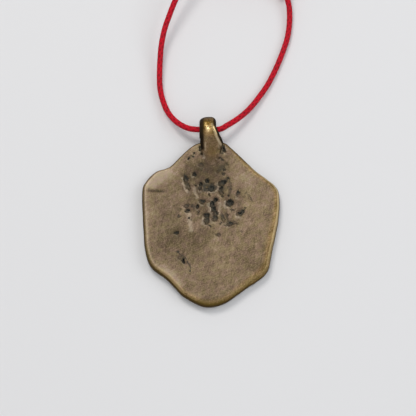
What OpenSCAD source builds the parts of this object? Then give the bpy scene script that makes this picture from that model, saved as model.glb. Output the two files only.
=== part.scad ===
// Cast amulet pendant on a red cord, lying face down with its back up.
// The origin is the middle of the casting, on the surface that it lies on. +Y points to the loop.

/* [Plate] */
// Width of the cast plate, left to right
plate_w = 34.4; // [26:0.2:60]
// Length of the cast plate, from the lower tip to the tip under the loop
plate_l = 43.4; // [32:0.2:76]
// Thickness of the plate at the crest of its rim
plate_t = 2.8; // [2.4:0.1:4]
// How far in from the edge the rounding of the edge reaches
edge_round = 1.3; // [0.8:0.1:2]
// Distance from the edge to where the raised rim ends
rim_w = 2.8; // [2.2:0.1:4]
// Depth of the dished back below the rim
dish_depth = 0.55; // [0.2:0.05:0.8]
// Depth of the sunk field on the front
front_depth = 0.7; // [0.2:0.05:0.8]

/* [Rosette on the front] */
// Number of petals
petal_count = 8; // [5:1:12]
// Radius of the rosette over the tips of its petals
rosette_r = 9; // [6:0.5:10]
// Radius of the round boss in its middle
boss_r = 2.6; // [1.5:0.1:4]

/* [Bail] */
// Width of the strap
strap_w = 4.3; // [3:0.1:6]
// Thickness of the strap
strap_t = 1.5; // [1.2:0.1:2.2]
// How far the outer edges of the strap are rounded
strap_round = 1; // [0.4:0.1:1.1]
// How far the edges of the eye are rounded
eye_round = 0.3; // [0.1:0.05:0.4]
// Diameter of the eye that the cord runs through
eye_d = 3.4; // [2.4:0.1:5]
// Width of the strap where it meets the plate
root_w = 6; // [4.4:0.1:8]
// How far the loop sits to the left of the middle
bail_left = 0.8; // [0:0.1:2]
// How far the foot leans to the right of the loop
foot_lean = 1.1; // [0:0.1:2]
// How far the foot reaches in over the plate
foot_reach = 3.2; // [2.4:0.1:5]
// Thickness of the foot at its thin end
foot_t = 0.9; // [0.6:0.1:1.4]
// Gap between the loop and the surface below it
loop_lift = 0.3; // [0.1:0.1:1]
// Gap between the loop and the rounded tip of the plate that it nests over
loop_gap = 0.1; // [0.05:0.05:0.5]

/* [Cord] */
// Diameter of the cord
cord_d = 1.5; // [1:0.1:1.8]
// Gap between neighbouring turns of the coil
turn_gap = 0.5; // [0.45:0.05:0.8]
// Turns of the coil
coil_turns = 10.5; // [6.5:1:14.5]
// Wraps of the knot
knot_wraps = 4; // [3:1:6]
// Length of each loose end at the knot
tail_l = 2.2; // [1:0.1:3]

/* [Hidden] */
$fn = 64;

// Bail: the loop nests over the rounded tip of the plate, as near as the rounding of its edge lets it
eye_r = eye_d / 2;
loop_r = eye_r + strap_t;
middle_r = eye_r + strap_t / 2;
eye_z = loop_r + loop_lift;
nest_reaches = [
    for (angle = [0:5:90])
        let (above = eye_z - plate_t / 2 * (1 + sin(angle)))
        sqrt(max(0, loop_r * loop_r - above * above)) - edge_round * (1 - cos(angle))
];
eye_off = max(nest_reaches) + loop_gap;
plate_y = -(eye_off + loop_r) / 2;
tip_y = plate_y + plate_l / 2;
eye_y = tip_y + eye_off;
bail_x = -bail_left;

// The strap widens to the right down to its root on the tip, and its foot lies flat on the rim's crest
root_x = bail_x + (root_w - strap_w) / 2;
root_y = tip_y - strap_t / 2;
foot_x = foot_lean - bail_left;
foot_y = tip_y - foot_reach + foot_t / 2;
crown_angle = 100;
heel_angle = 180 - asin((plate_t + strap_t / 2 - eye_z) / middle_r);

// Plate: points of the outline as shares of half its width and half its length, from the upper left
// tip round to the left, and the middle that the rings of its surface close in on
outline_shares = [
    [-0.18, 0.99], [-0.31, 0.93], [-0.45, 0.82], [-0.58, 0.71], [-0.67, 0.67], [-0.81, 0.63],
    [-0.95, 0.51], [-1.0, 0.36], [-0.97, -0.14], [-0.94, -0.35], [-0.86, -0.52], [-0.64, -0.665],
    [-0.525, -0.76], [-0.385, -0.875], [-0.1, -0.99], [0.15, -0.965], [0.38, -0.85], [0.515, -0.765],
    [0.64, -0.7], [0.81, -0.57], [0.88, -0.33], [0.98, 0.07], [0.99, 0.34], [0.94, 0.45],
    [0.825, 0.535], [0.665, 0.635], [0.55, 0.725], [0.41, 0.84], [0.285, 0.94], [0.19, 0.995],
    [0.02, 1.0]
];
middle_share = 0.1;
middle = [0, plate_y + middle_share * plate_l / 2];
steps_per_point = 3;
field_rings = 15;
edge_rings = 8;

// Level land under the root and the foot, and how fast it runs out into the dished field
land_left = min(root_x - root_w / 2, foot_x - strap_w / 2);
land_right = max(root_x + root_w / 2, foot_x + strap_w / 2);
land_low = foot_y - foot_t / 2 - rim_w / 2;
land_fade = rim_w;

// Recesses left in the back by the casting: place, half length and half width as shares of the
// plate's half width, the angle of the long side, and the depth as a share of the thickness
recess_shares = [
    [[-0.36, 0.53], 0.13, 0.07, 100, 0.18], [[-0.23, 0.6], 0.06, 0.05, 0, 0.16],
    [[-0.15, 0.47], 0.09, 0.06, 95, 0.24], [[-0.06, 0.53], 0.05, 0.05, 0, 0.16],
    [[0.01, 0.4], 0.08, 0.07, 0, 0.18], [[0.16, 0.49], 0.11, 0.07, 55, 0.24],
    [[0.39, 0.37], 0.07, 0.05, 100, 0.15], [[0.26, 0.24], 0.08, 0.07, 0, 0.27],
    [[0.43, 0.11], 0.1, 0.06, 40, 0.2], [[0.05, 0.18], 0.16, 0.08, 100, 0.27],
    [[-0.06, 0.07], 0.11, 0.08, 80, 0.24], [[-0.34, 0.2], 0.09, 0.06, 80, 0.18],
    [[0.28, -0.02], 0.1, 0.05, 10, 0.14], [[-0.49, -0.12], 0.05, 0.04, 0, 0.12]
];

// Cord: every point is where the middle of the cord runs
cord_r = cord_d / 2;
cord_sides = 8;
coil_sides = 6;
rings_per_turn = 24;
coil_layers = 4;
coil_x = 9;
coil_y = 76;
coil_middle_r = 8.25;
pitch = cord_d + turn_gap;
layer_turns = coil_turns / coil_layers;
coil_out_r = coil_middle_r + layer_turns * pitch / 2;
coil_top_z = cord_r + (coil_layers - 1) * pitch;
climb_turns = 0.5;

knot_x = coil_x + coil_out_r;
knot_y = 62;
knot_r = cord_d + cord_r;
knot_l = knot_wraps * cord_d;
knot_end_r = cord_d;
knot_steps = 6;
tail_off = cord_d + turn_gap;

eye_middle = [bail_x, eye_y, eye_z];
mouth_run = strap_w / 2 + cord_r;

left_points = concat([eye_middle, eye_middle - [mouth_run, 0, 0]], [
    [-6, 22.1, 3.1], [-8.5, 23.9, 2.3], [-10.7, 26.7, 1.6], [-12.1, 30.1, 1.3],
    [-12.9, 33.5, 1.3], [-13.1, 37.1, 1.5], [-13, 41, 2], [-12.7, 45, 2.7],
    [-11.9, 49.2, 3.5], [-10.6, 53.1, 4.3], [-9.1, 56.9, 5.1], [-7.4, 60.5, 5.7],
    [-5.5, 64, 6.2], [-3.4, 67.8, 6.6]
], [
    [coil_x - coil_out_r, coil_y - 3 * cord_d, coil_top_z],
    [coil_x - coil_out_r, coil_y - 2 * cord_d, coil_top_z]
]);

right_points = concat([eye_middle, eye_middle + [mouth_run, 0, 0]], [
    [4.2, 22.8, 3.1], [7.1, 25.1, 2.3], [9.8, 27.9, 1.6], [12.4, 31.5, 1.1],
    [14.6, 35, 0.9], [16.7, 39.4, 0.8], [18.5, 44, 0.8], [19.8, 48.2, 0.8],
    [20.4, 52.4, 1], [20.4, 56.4, 1.5]
], [
    [knot_x, knot_y - 2 * cord_d, knot_r],
    [knot_x, knot_y, knot_r]
]);

// Shared curves
function smooth(t) = let (s = max(0, min(1, t))) s * s * (3 - 2 * s);
function flat_list(lists) = [for (list = lists) for (item = list) item];
function through(a, b, c, d, t) =
    (2 * b + (c - a) * t + (2 * a - 5 * b + 4 * c - d) * t * t + (3 * b - a - 3 * c + d) * t * t * t) / 2;

// Outline of the plate, drawn through its shares and fitted to its width and length
share_count = len(outline_shares);
raw_outline = [
    for (i = [0:share_count - 1]) for (k = [0:steps_per_point - 1])
        through(
            outline_shares[i], outline_shares[(i + 1) % share_count],
            outline_shares[(i + 2) % share_count], outline_shares[(i + 3) % share_count],
            k / steps_per_point
        )
];
raw_x = [for (p = raw_outline) p[0]];
raw_y = [for (p = raw_outline) p[1]];
raw_low = [min(raw_x), min(raw_y)];
raw_span = [max(raw_x) - min(raw_x), max(raw_y) - min(raw_y)];
outline = [
    for (p = raw_outline) [
        ((p[0] - raw_low[0]) / raw_span[0] - 1 / 2) * plate_w,
        ((p[1] - raw_low[1]) / raw_span[1] - 1 / 2) * plate_l + plate_y
    ]
];
sectors = len(outline);

// Heights of the two faces at a point, where f runs from 0 in the middle to 1 at the rim
function land(p) =
    let (
        side = max(0, land_left - p[0], p[0] - land_right),
        below = max(0, land_low - p[1])
    )
    1 - smooth(norm([side, below]) / land_fade);

function recess(p, shares) =
    let (
        unit = plate_w / 2,
        at = p - [shares[0][0] * unit, plate_y + shares[0][1] * plate_l / 2],
        along = at[0] * cos(shares[3]) + at[1] * sin(shares[3]),
        across = at[1] * cos(shares[3]) - at[0] * sin(shares[3]),
        reach = norm([along / (shares[1] * unit), across / (shares[2] * unit)])
    )
    shares[4] * plate_t * (1 - smooth((reach - 0.3) / 0.9));

function recesses(p) = max([for (shares = recess_shares) recess(p, shares)]);

function back_z(p, f) =
    plate_t - (1 - land(p)) * (dish_depth * (1 - smooth((f - 0.5) / 0.5)) + recesses(p));

function rosette(p) =
    let (
        at = p - middle,
        r = norm(at),
        petal = (1 + cos(petal_count * atan2(at[1], at[0]))) / 2,
        tip_r = rosette_r * (0.8 + 0.2 * petal),
        fade = boss_r / 2
    )
    max(
        1 - smooth((r - boss_r * 0.6) / fade),
        smooth((tip_r - r) / fade) * smooth((r - boss_r) / fade) * (0.3 + 0.7 * sqrt(petal))
    );

function front_z(p, f) =
    front_depth * (1 - smooth((f - 0.85) / 0.15)) * (1 - 0.7 * rosette(p));

// Rings of the plate: the back from the middle out, round the edge, and the front back to the middle
function ray_point(i, reach) = middle + (outline[i] - middle) * reach / norm(outline[i] - middle);
function field_ring(share, back) = [
    for (i = [0:sectors - 1])
        let (p = ray_point(i, share * (norm(outline[i] - middle) - rim_w)))
        [p[0], p[1], back ? back_z(p, share) : front_z(p, share)]
];
function edge_ring(angle) = [
    for (i = [0:sectors - 1])
        let (p = ray_point(i, norm(outline[i] - middle) - edge_round * (1 - cos(angle))))
        [p[0], p[1], plate_t / 2 * (1 + sin(angle))]
];
plate_rings = concat(
    [for (j = [1:field_rings]) field_ring(j / field_rings, true)],
    [for (k = [0:edge_rings]) edge_ring(90 - 180 * k / edge_rings)],
    [for (j = [field_rings:-1:1]) field_ring(j / field_rings, false)]
);
plate_points = concat(
    [[middle[0], middle[1], back_z(middle, 0)]],
    flat_list(plate_rings),
    [[middle[0], middle[1], front_z(middle, 0)]]
);
last_ring = 1 + (len(plate_rings) - 1) * sectors;
plate_faces = concat(
    [for (i = [0:sectors - 1]) [0, 1 + (i + 1) % sectors, 1 + i]],
    flat_list([
        for (k = [0:len(plate_rings) - 2]) for (i = [0:sectors - 1])
            let (
                a = 1 + k * sectors + i,
                b = 1 + k * sectors + (i + 1) % sectors,
                c = a + sectors,
                d = b + sectors
            )
            [[a, b, d], [a, d, c]]
    ]),
    [for (i = [0:sectors - 1]) [last_ring + i, last_ring + (i + 1) % sectors, len(plate_points) - 1]]
);

module amulet_plate() {
    color("#94795a")
        polyhedron(plate_points, plate_faces);
}

// Half section of the strap, from the eye out to the loop's outer face
function corner(x, y, r, from) = [
    for (k = [0:knot_steps])
        let (angle = from + 90 * k / knot_steps)
        [x + r * cos(angle), y + r * sin(angle)]
];
function strap_section() = concat(
    corner(loop_r - strap_round, strap_w / 2 - strap_round, strap_round, 0),
    corner(eye_r + eye_round, strap_w / 2 - eye_round, eye_round, 90),
    corner(eye_r + eye_round, eye_round - strap_w / 2, eye_round, 180),
    corner(loop_r - strap_round, strap_round - strap_w / 2, strap_round, 270)
);

module strap_bar(at, width, thickness) {
    for (side = [-1, 1])
        translate(at + [side * (width - thickness) / 2, 0, 0])
            sphere(d = thickness, $fn = 24);
}

module root_bar() {
    strap_bar([root_x, root_y, plate_t + strap_t / 4], root_w, strap_t);
}

module bail() {
    color("#786432")
        union() {
            translate([bail_x, eye_y, eye_z])
                rotate([0, 90, 0])
                    rotate_extrude()
                        polygon(strap_section());
            difference() {
                union() {
                    hull() {
                        for (angle = [crown_angle, heel_angle])
                            strap_bar(
                                [bail_x, eye_y + middle_r * cos(angle), eye_z + middle_r * sin(angle)],
                                strap_w, strap_t
                            );
                        root_bar();
                    }
                    hull() {
                        root_bar();
                        strap_bar([foot_x, foot_y, plate_t + foot_t / 4], strap_w, foot_t);
                    }
                }
                translate([bail_x - strap_w, eye_y, eye_z])
                    rotate([0, 90, 0])
                        cylinder(r = middle_r, h = 2 * strap_w);
                translate([bail_x - plate_w / 2, tip_y - plate_l / 2, 0])
                    cube([plate_w, plate_l, plate_t]);
            }
        }
}

// Tube along a route that never stands upright, with faces square to the route at both ends
function along(points, i) =
    let (
        from = points[max(0, i - 1)],
        to = points[min(len(points) - 1, i + 1)]
    )
    (to - from) / norm(to - from);
function tube_ring(at, way, sides) =
    let (
        level = cross(way, [0, 0, 1]) / norm(cross(way, [0, 0, 1])),
        up = cross(level, way)
    )
    [for (k = [0:sides - 1]) at + cord_r * (cos(360 * k / sides) * level + sin(360 * k / sides) * up)];

module tube(points, sides) {
    count = len(points);
    polyhedron(
        flat_list([for (i = [0:count - 1]) tube_ring(points[i], along(points, i), sides)]),
        concat(
            [[for (k = [0:sides - 1]) k]],
            flat_list([
                for (i = [0:count - 2]) for (k = [0:sides - 1])
                    let (
                        a = i * sides + k,
                        b = i * sides + (k + 1) % sides,
                        c = a + sides,
                        d = b + sides
                    )
                    [[a, c, d], [a, d, b]]
            ]),
            [[for (k = [sides - 1:-1:0]) (count - 1) * sides + k]]
        )
    );
}

module cord_left_run() {
    color("#b81a2c")
        tube(left_points, cord_sides);
}

module cord_right_run() {
    color("#b81a2c")
        tube(right_points, cord_sides);
}

// Coil: the spiral runs in on one layer and out on the next, and climbs where it turns back
function spiral_r(turn) =
    let (
        layer = min(coil_layers - 1, floor(turn / layer_turns)),
        within = turn - layer * layer_turns
    )
    coil_out_r - pitch * (layer % 2 == 0 ? within : layer_turns - within);
function spiral_z(turn) =
    let (
        climbs = [
            for (k = [1:coil_layers - 1])
                smooth((turn - k * layer_turns + climb_turns / 2) / climb_turns)
        ]
    )
    cord_r + pitch * (climbs * [for (k = [1:coil_layers - 1]) 1]);
spiral_points = [
    for (i = [0:coil_turns * rings_per_turn])
        let (turn = i / rings_per_turn)
        [
            coil_x + spiral_r(turn) * cos(360 * turn),
            coil_y + spiral_r(turn) * sin(360 * turn),
            spiral_z(turn)
        ]
];
lead_y = knot_y + knot_l;
lead_steps = 4;
lead_drop = 3 * cord_d;
coil_points = concat(
    [[knot_x, lead_y, knot_r]],
    [
        for (k = [0:lead_steps])
            [
                knot_x,
                lead_y + cord_d + lead_drop * k / lead_steps,
                knot_r - (knot_r - cord_r) * smooth(k / lead_steps)
            ]
    ],
    spiral_points,
    [for (k = [1:2]) [coil_x - coil_out_r, coil_y - k * cord_d, coil_top_z]]
);
half_turn = rings_per_turn / 2;

module cord_coil() {
    least = min([
        for (i = [0:len(coil_points) - 1 - half_turn]) for (j = [i + half_turn:len(coil_points) - 1])
            norm(coil_points[i] - coil_points[j])
    ]);
    echo("least gap of the coil to itself in mm", least - cord_d);
    color("#b81a2c")
        tube(coil_points, coil_sides);
}

// Knot: wraps side by side round the two strands that meet in it, with a short loose end on each side
function wrap_section(i) = [
    for (k = [0:knot_steps])
        [
            knot_end_r + (knot_r - knot_end_r) * sqrt(sin(180 * k / knot_steps)),
            cord_d * (i + k / knot_steps)
        ]
];

knot_section = concat([[0, 0]], flat_list([for (i = [0:knot_wraps - 1]) wrap_section(i)]), [[0, knot_l]]);

module cord_knot() {
    color("#a81626")
        translate([knot_x, knot_y + knot_l / 2, knot_r]) {
            translate([0, -knot_l / 2, 0])
                rotate([-90, 0, 0])
                    rotate_extrude()
                        polygon(knot_section);
            for (side = [-1, 1])
                rotate([-90 * side, 0, 0])
                    translate([side * tail_off, 0, knot_l / 2 - cord_d]) {
                        cylinder(r = cord_r, h = cord_d + tail_l);
                        translate([0, 0, cord_d + tail_l])
                            sphere(r = cord_r);
                    }
        }
}

amulet_plate();
bail();
cord_left_run();
cord_right_run();
cord_coil();
cord_knot();
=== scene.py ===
import math

import bpy
import numpy as np
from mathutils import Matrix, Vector


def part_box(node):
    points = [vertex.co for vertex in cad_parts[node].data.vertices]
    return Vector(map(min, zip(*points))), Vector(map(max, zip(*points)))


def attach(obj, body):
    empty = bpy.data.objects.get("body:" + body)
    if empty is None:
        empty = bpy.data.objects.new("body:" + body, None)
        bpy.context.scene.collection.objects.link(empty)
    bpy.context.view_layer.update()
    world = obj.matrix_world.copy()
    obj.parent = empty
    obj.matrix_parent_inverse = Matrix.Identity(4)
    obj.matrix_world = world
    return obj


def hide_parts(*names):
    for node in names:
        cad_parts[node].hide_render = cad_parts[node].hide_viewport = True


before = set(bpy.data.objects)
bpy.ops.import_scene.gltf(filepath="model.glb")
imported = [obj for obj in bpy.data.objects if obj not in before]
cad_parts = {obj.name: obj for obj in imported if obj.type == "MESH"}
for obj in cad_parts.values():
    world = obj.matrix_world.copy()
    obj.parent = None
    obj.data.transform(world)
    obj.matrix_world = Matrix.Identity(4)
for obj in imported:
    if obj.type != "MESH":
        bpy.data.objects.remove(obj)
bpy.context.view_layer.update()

scene = bpy.context.scene
mm = 0.001
print("frame loaded with", len(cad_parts), "nodes")

# The view of the photograph, looking down on the back of the pendant
photoView = {
    "pixels": 416,
    "pixelSize": 0.25,  # mm on the table
    "distance": 450,  # mm from the lens to the target
    "elevation": 70,  # degrees above the table
    "target": (-0.7, 1.7, 0.0),  # mm, seen in the middle of the picture
    "sensor": 36,
}


def aim(holder, at, way):
    holder.location = at
    holder.rotation_mode = "QUATERNION"
    holder.rotation_quaternion = way.to_track_quat("-Z", "Y")
    scene.collection.objects.link(holder)


def makeCamera():
    tilt = math.radians(photoView["elevation"])
    back = Vector((0, -math.cos(tilt), math.sin(tilt)))
    halfWidth = photoView["pixels"] * photoView["pixelSize"] / 2
    data = bpy.data.cameras.new("photoCamera")
    data.sensor_width = photoView["sensor"]
    data.lens = photoView["sensor"] / 2 * photoView["distance"] / halfWidth
    data.clip_start = 0.01
    data.clip_end = 20
    camera = bpy.data.objects.new("photoCamera", data)
    aim(camera, Vector(photoView["target"]) * mm + back * photoView["distance"] * mm, -back)
    scene.camera = camera


def seenAt(x, y, z):
    # the pixel of the picture where a point in mm is seen
    tilt = math.radians(photoView["elevation"])
    middle = photoView["pixels"] / 2
    dx, dy, dz = (at - target for at, target in zip((x, y, z), photoView["target"]))
    depth = photoView["distance"] + dy * math.cos(tilt) - dz * math.sin(tilt)
    zoom = photoView["distance"] / photoView["pixelSize"] / depth
    return middle + dx * zoom, middle - (dy * math.sin(tilt) + dz * math.cos(tilt)) * zoom


makeCamera()
print("camera placed")


# Small helpers for curves, noise and meshes
def smooth(t):
    s = np.clip(t, 0, 1)
    return s * s * (3 - 2 * s)


def fade(far, start, over):
    # 1 up to the start, and from there down to 0 over so much
    return 1 - smooth((far - start) / over)


def curveThrough(points, steps, closed=False):
    # a smooth curve, with so many steps from one point to the next
    p = np.array(points, float)
    if closed:
        p = np.vstack([p[-1:], p, p[:2]])
    else:
        p = np.vstack([2 * p[0] - p[1], p, 2 * p[-1] - p[-2]])
    t = np.arange(steps)[:, None] / steps
    parts = []
    for a, b, c, d in zip(p[:-3], p[1:-2], p[2:-1], p[3:]):
        rise = (c - a) * t + (2 * a - 5 * b + 4 * c - d) * t**2 + (3 * b - a - 3 * c + d) * t**3
        parts.append((2 * b + rise) / 2)
    curve = np.vstack(parts)
    return curve if closed else np.vstack([curve, p[-2:-1]])


def evenSteps(points, step):
    # the same line with its points an even distance apart
    p = np.array(points, float)
    run = np.concatenate([[0], np.cumsum(np.linalg.norm(np.diff(p, axis=0), axis=1))])
    at = np.linspace(0, run[-1], max(2, int(round(run[-1] / step)) + 1))
    return np.column_stack([np.interp(at, run, p[:, k]) for k in range(3)]), run[-1]


def grain(x, y, z, size, seed):
    # smooth noise from -1 to 1 whose lumps are about the size given
    cells = 32  # lumps across before it repeats
    table = np.random.default_rng(seed).uniform(-1, 1, (cells, cells, cells))
    places = []
    for v in (x, y, z):
        low = np.floor(np.asarray(v, float) / size)
        places.append((low.astype(int), smooth(np.asarray(v, float) / size - low)))
    (i, u), (j, v), (k, w) = places
    total = 0
    for a, b, c in np.ndindex(2, 2, 2):
        share = (u if a else 1 - u) * (v if b else 1 - v) * (w if c else 1 - w)
        total = total + share * table[(i + a) % cells, (j + b) % cells, (k + c) % cells]
    return total


def lumps(x, y, z, layers):
    # layers of grain: weight, size and seed of each
    return sum(weight * grain(x, y, z, size, seed) for weight, size, seed in layers)


def addMarks(mesh, marks):
    # one number for each point of the mesh, which its finish reads
    for key, values in marks.items():
        layer = mesh.attributes.new(key, "FLOAT", "POINT")
        layer.data.foreach_set("value", np.asarray(values, np.float32))


def ringFaces(rings, n, first=0):
    # the faces between rings of n points each, counted from the first
    faces = []
    for k, i in np.ndindex(rings - 1, n):
        a, b = first + k * n + i, first + k * n + (i + 1) % n
        faces.append((a, a + n, b + n, b))
    return faces


def meshPiece(name, points, faces, marks=None):
    mesh = bpy.data.meshes.new(name)
    mesh.from_pydata([tuple(p) for p in np.asarray(points) * mm], [], faces)
    mesh.validate()
    addMarks(mesh, marks or {})
    mesh.shade_smooth()
    piece = bpy.data.objects.new(name, mesh)
    scene.collection.objects.link(piece)
    return piece


# The cord: one waxed cord that runs through the eye, joined in a knot, its spare length coiled
bailLow, bailHigh = (np.array(corner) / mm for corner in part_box("bail"))
loopR = (bailHigh[2] - bailLow[2]) / 2
eyeY = bailHigh[1] - loopR
eyeZ = bailLow[2] + loopR
bailX = -0.8  # middle of the ring
strapW = 2 * (bailX - bailLow[0])

waxedCord = {
    "diameter": 1.5,
    "ringStep": 0.24,  # mm between the rings of the mesh
    "sides": 20,
    "braidPitch": 1.7,  # mm for one turn of a strand
    "braidStrands": 4, "braidDepth": 0.035,
    "waxLumps": 0.02,
    "waxGrain": (0.45, 5),  # size in mm and seed of the lumps
    "roundEnd": 0.02,  # how blunt a rounded end is
    "curveSteps": 12,  # from one point of a route to the next
    "leftLength": 620,  # mm from the eye through the coil to the knot
    "rightLength": 51,  # mm from the eye to the knot
    "leftPoints": [
        (-6, 22.1, 3.1), (-8.5, 23.9, 2.3), (-10.7, 26.7, 1.6), (-12.1, 30.1, 1.3),
        (-12.9, 33.5, 1.3), (-13.1, 37.1, 1.5), (-13, 41, 2), (-12.7, 45, 2.7),
        (-11.9, 49.2, 3.5), (-10.6, 53.1, 4.3), (-9.1, 56.9, 5.1), (-7.4, 60.5, 5.7),
        (-5.5, 64, 6.2), (-3.4, 67.8, 6.6),
    ],
    "rightPoints": [
        (4.2, 22.8, 3.1), (7.1, 25.1, 2.3), (9.8, 27.9, 1.6), (12.4, 31.5, 1.1),
        (14.6, 35, 0.9), (16.7, 39.4, 0.8), (18.5, 44, 0.8), (19.8, 48.2, 0.8),
        (20.4, 52.4, 1), (20.4, 56.4, 1.5),
    ],
    "color": (0.54, 0.005, 0.018),
    # the darker red, for the random tone of fibre and wax and for the painted shade between the strands
    "shade": (0.17, 0.002, 0.007),
    # noise: width in mm, stretch, turn in degrees, detail and roughness
    "fibre": (0.22, 1, 0, 4, 0.65), "wax": (1.6, 1, 0, 2, 0.5),
    "waxWeight": 0.7,
    "layShade": 0.8,  # painted shade: how much darker it is between the strands
    "colorRange": (0.2, 0.95),
    "waxRange": (0.3, 0.7, 0.48, 0.66),  # levels of the wax and the roughness at each
    "specular": 0.12, "sheen": 0.05, "sheenRoughness": 0.4,
    "bump": (0.05, 0.8),  # depth in mm and strength
}
cordD = waxedCord["diameter"]

coil = {
    "middle": (9, 76), "middleR": 8.25, "turns": 10.5, "layers": 4, "pitch": 2.0, "climbTurns": 0.5,
    "stepsPerTurn": 72, "leadSteps": 4, "leadDrop": 4.5,
}

knot = {
    "start": 62.0,  # where the barrel begins, along Y
    "barrelL": 6.0, "axisZ": 2.25, "tailOff": 1.9, "tailL": 2.2,
    "wraps": 3.5, "stepsPerWrap": 40, "pointStep": 8,
    "tuck": 0.7,  # how far past the last wrap a loose end turns, in cord widths
}


def coilLine():
    # in on one layer and out on the next, with a climb where it turns back
    layerTurns = coil["turns"] / coil["layers"]
    outR = coil["middleR"] + layerTurns * coil["pitch"] / 2
    turn = np.arange(int(coil["turns"] * coil["stepsPerTurn"]) + 1) / coil["stepsPerTurn"]
    layer = np.minimum(coil["layers"] - 1, np.floor(turn / layerTurns))
    within = turn - layer * layerTurns
    radius = outR - coil["pitch"] * np.where(layer % 2 == 0, within, layerTurns - within)
    z = np.full(len(turn), cordD / 2)
    for k in range(1, coil["layers"]):
        climb = (turn - k * layerTurns + coil["climbTurns"] / 2) / coil["climbTurns"]
        z += coil["pitch"] * smooth(climb)
    x = coil["middle"][0] + radius * np.cos(2 * np.pi * turn)
    y = coil["middle"][1] + radius * np.sin(2 * np.pi * turn)
    return np.column_stack([x, y, z]), outR


def cordRoutes():
    # both routes start in the middle of the eye and end inside the knot
    eye = (bailX, eyeY, eyeZ)
    mouth = strapW / 2 + cordD / 2
    spiral, outR = coilLine()
    coilX, coilY = coil["middle"]
    knotX = coilX + outR
    start, axisZ = knot["start"], knot["axisZ"]
    end = start + knot["barrelL"]
    steps = waxedCord["curveSteps"]
    run = [eye, (bailX - mouth, eyeY, eyeZ)] + waxedCord["leftPoints"]
    run += [(coilX - outR, coilY - k * cordD, spiral[-1][2]) for k in (3, 2, 1)]
    lead = []
    for k in range(coil["leadSteps"], -1, -1):
        share = k / coil["leadSteps"]
        sink = (axisZ - cordD / 2) * float(smooth(share))
        lead.append((knotX, end + cordD + coil["leadDrop"] * share, axisZ - sink))
    lead += [(knotX, end, axisZ), (knotX, end - cordD / 2, axisZ)]
    left = np.vstack([curveThrough(run, steps)[:-1], spiral[::-1], curveThrough(lead, steps)[1:]])
    run = [eye, (bailX + mouth, eyeY, eyeZ)] + waxedCord["rightPoints"]
    run += [(knotX, start + k * cordD, axisZ) for k in (-2, 0, 0.5)]
    return left, curveThrough(run, steps), knotX


def knotLine(knotX):
    # a loose end, the wraps round the two strands, and the other loose end
    start, axisZ, off, tail = (knot[key] for key in ("start", "axisZ", "tailOff", "tailL"))
    end = start + knot["barrelL"]
    first, last = start + cordD / 2, end - cordD / 2
    turn = np.linspace(0, knot["wraps"], int(knot["wraps"] * knot["stepsPerWrap"]))
    wraps = np.column_stack([
        knotX + cordD * np.cos(2 * np.pi * turn),
        last + (first - last) * turn / knot["wraps"],
        axisZ - cordD * np.sin(2 * np.pi * turn),
    ])
    tuck = cordD * knot["tuck"]
    headIn = [(knotX + off, y, axisZ) for y in (end + tail, end + tail / 2, last + tuck)]
    headOut = [(knotX - off, y, axisZ) for y in (first - tuck, start - tail / 2, start - tail)]
    step = knot["pointStep"]
    return curveThrough(headIn + [tuple(p) for p in wraps[step:-step:step]] + headOut, step)


def cordTube(name, line, roundEnds=False):
    # a tube with the lay of its braid and lumps of wax in the mesh itself
    path, length = evenSteps(line, waxedCord["ringStep"])
    way = np.gradient(path, axis=0)
    way /= np.linalg.norm(way, axis=1)[:, None]
    side = np.zeros_like(path)
    side[0] = np.cross(way[0], (0, 0, 1))
    side[0] /= np.linalg.norm(side[0])
    for i in range(1, len(path)):
        s = side[i - 1] - way[i] * np.dot(side[i - 1], way[i])
        side[i] = s / np.linalg.norm(s)
    up = np.cross(way, side)
    run = np.arange(len(path)) * length / (len(path) - 1)
    angle = 2 * np.pi * np.arange(waxedCord["sides"]) / waxedCord["sides"]
    lay = 2 * np.pi * run[:, None] / waxedCord["braidPitch"]
    half = waxedCord["braidStrands"] / 2
    over = np.abs(np.cos(half * angle[None] + lay / 2))
    under = np.abs(np.cos(half * angle[None] - lay / 2))
    strand = np.maximum(over, under)
    r = cordD / 2 - waxedCord["waxLumps"] - waxedCord["braidDepth"] * (1 - strand)
    if roundEnds:
        inset = np.minimum(run, length - run)[:, None] / (cordD / 2)
        r = r * np.sqrt(np.clip(1 - (1 - np.clip(inset, 0, 1)) ** 2, waxedCord["roundEnd"], 1))
    out = np.cos(angle)[None, :, None] * side[:, None] + np.sin(angle)[None, :, None] * up[:, None]
    at = path[:, None] + out * r[..., None]
    lump = grain(*np.moveaxis(at, -1, 0), *waxedCord["waxGrain"])
    at = at + out * (lump * waxedCord["waxLumps"])[..., None]
    points = at.reshape(-1, 3)
    n = waxedCord["sides"]
    faces = ringFaces(len(path), n)
    faces.append(tuple(range(n)))
    faces.append(tuple(range(len(points) - 1, len(points) - 1 - n, -1)))
    depth = np.broadcast_to(1 - strand, at.shape[:2]).ravel()
    return meshPiece(name, points, faces, {"lay": depth}), path, length


leftLine, rightLine, knotX = cordRoutes()
leftCord, leftPath, leftLength = cordTube("red_cord_left", leftLine)
rightCord, rightPath, rightLength = cordTube("red_cord_right", rightLine)
cordKnot = cordTube("red_cord_knot", knotLine(knotX), True)[0]
for piece in (leftCord, rightCord, cordKnot):
    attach(piece, "cord")
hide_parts("cord_left_run", "cord_coil")
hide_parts("cord_right_run")
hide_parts("cord_knot")
print("cord: left", round(leftLength, 1), "mm, right", round(rightLength, 1), "mm")

# The cast plate: six soft lobes, a rounded rim, a dished back with the marks of its casting
plateLow, plateHigh = (np.array(corner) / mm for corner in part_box("amulet_plate"))
plateW, plateL, plateT = plateHigh - plateLow
plateY = (plateLow[1] + plateHigh[1]) / 2

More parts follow.
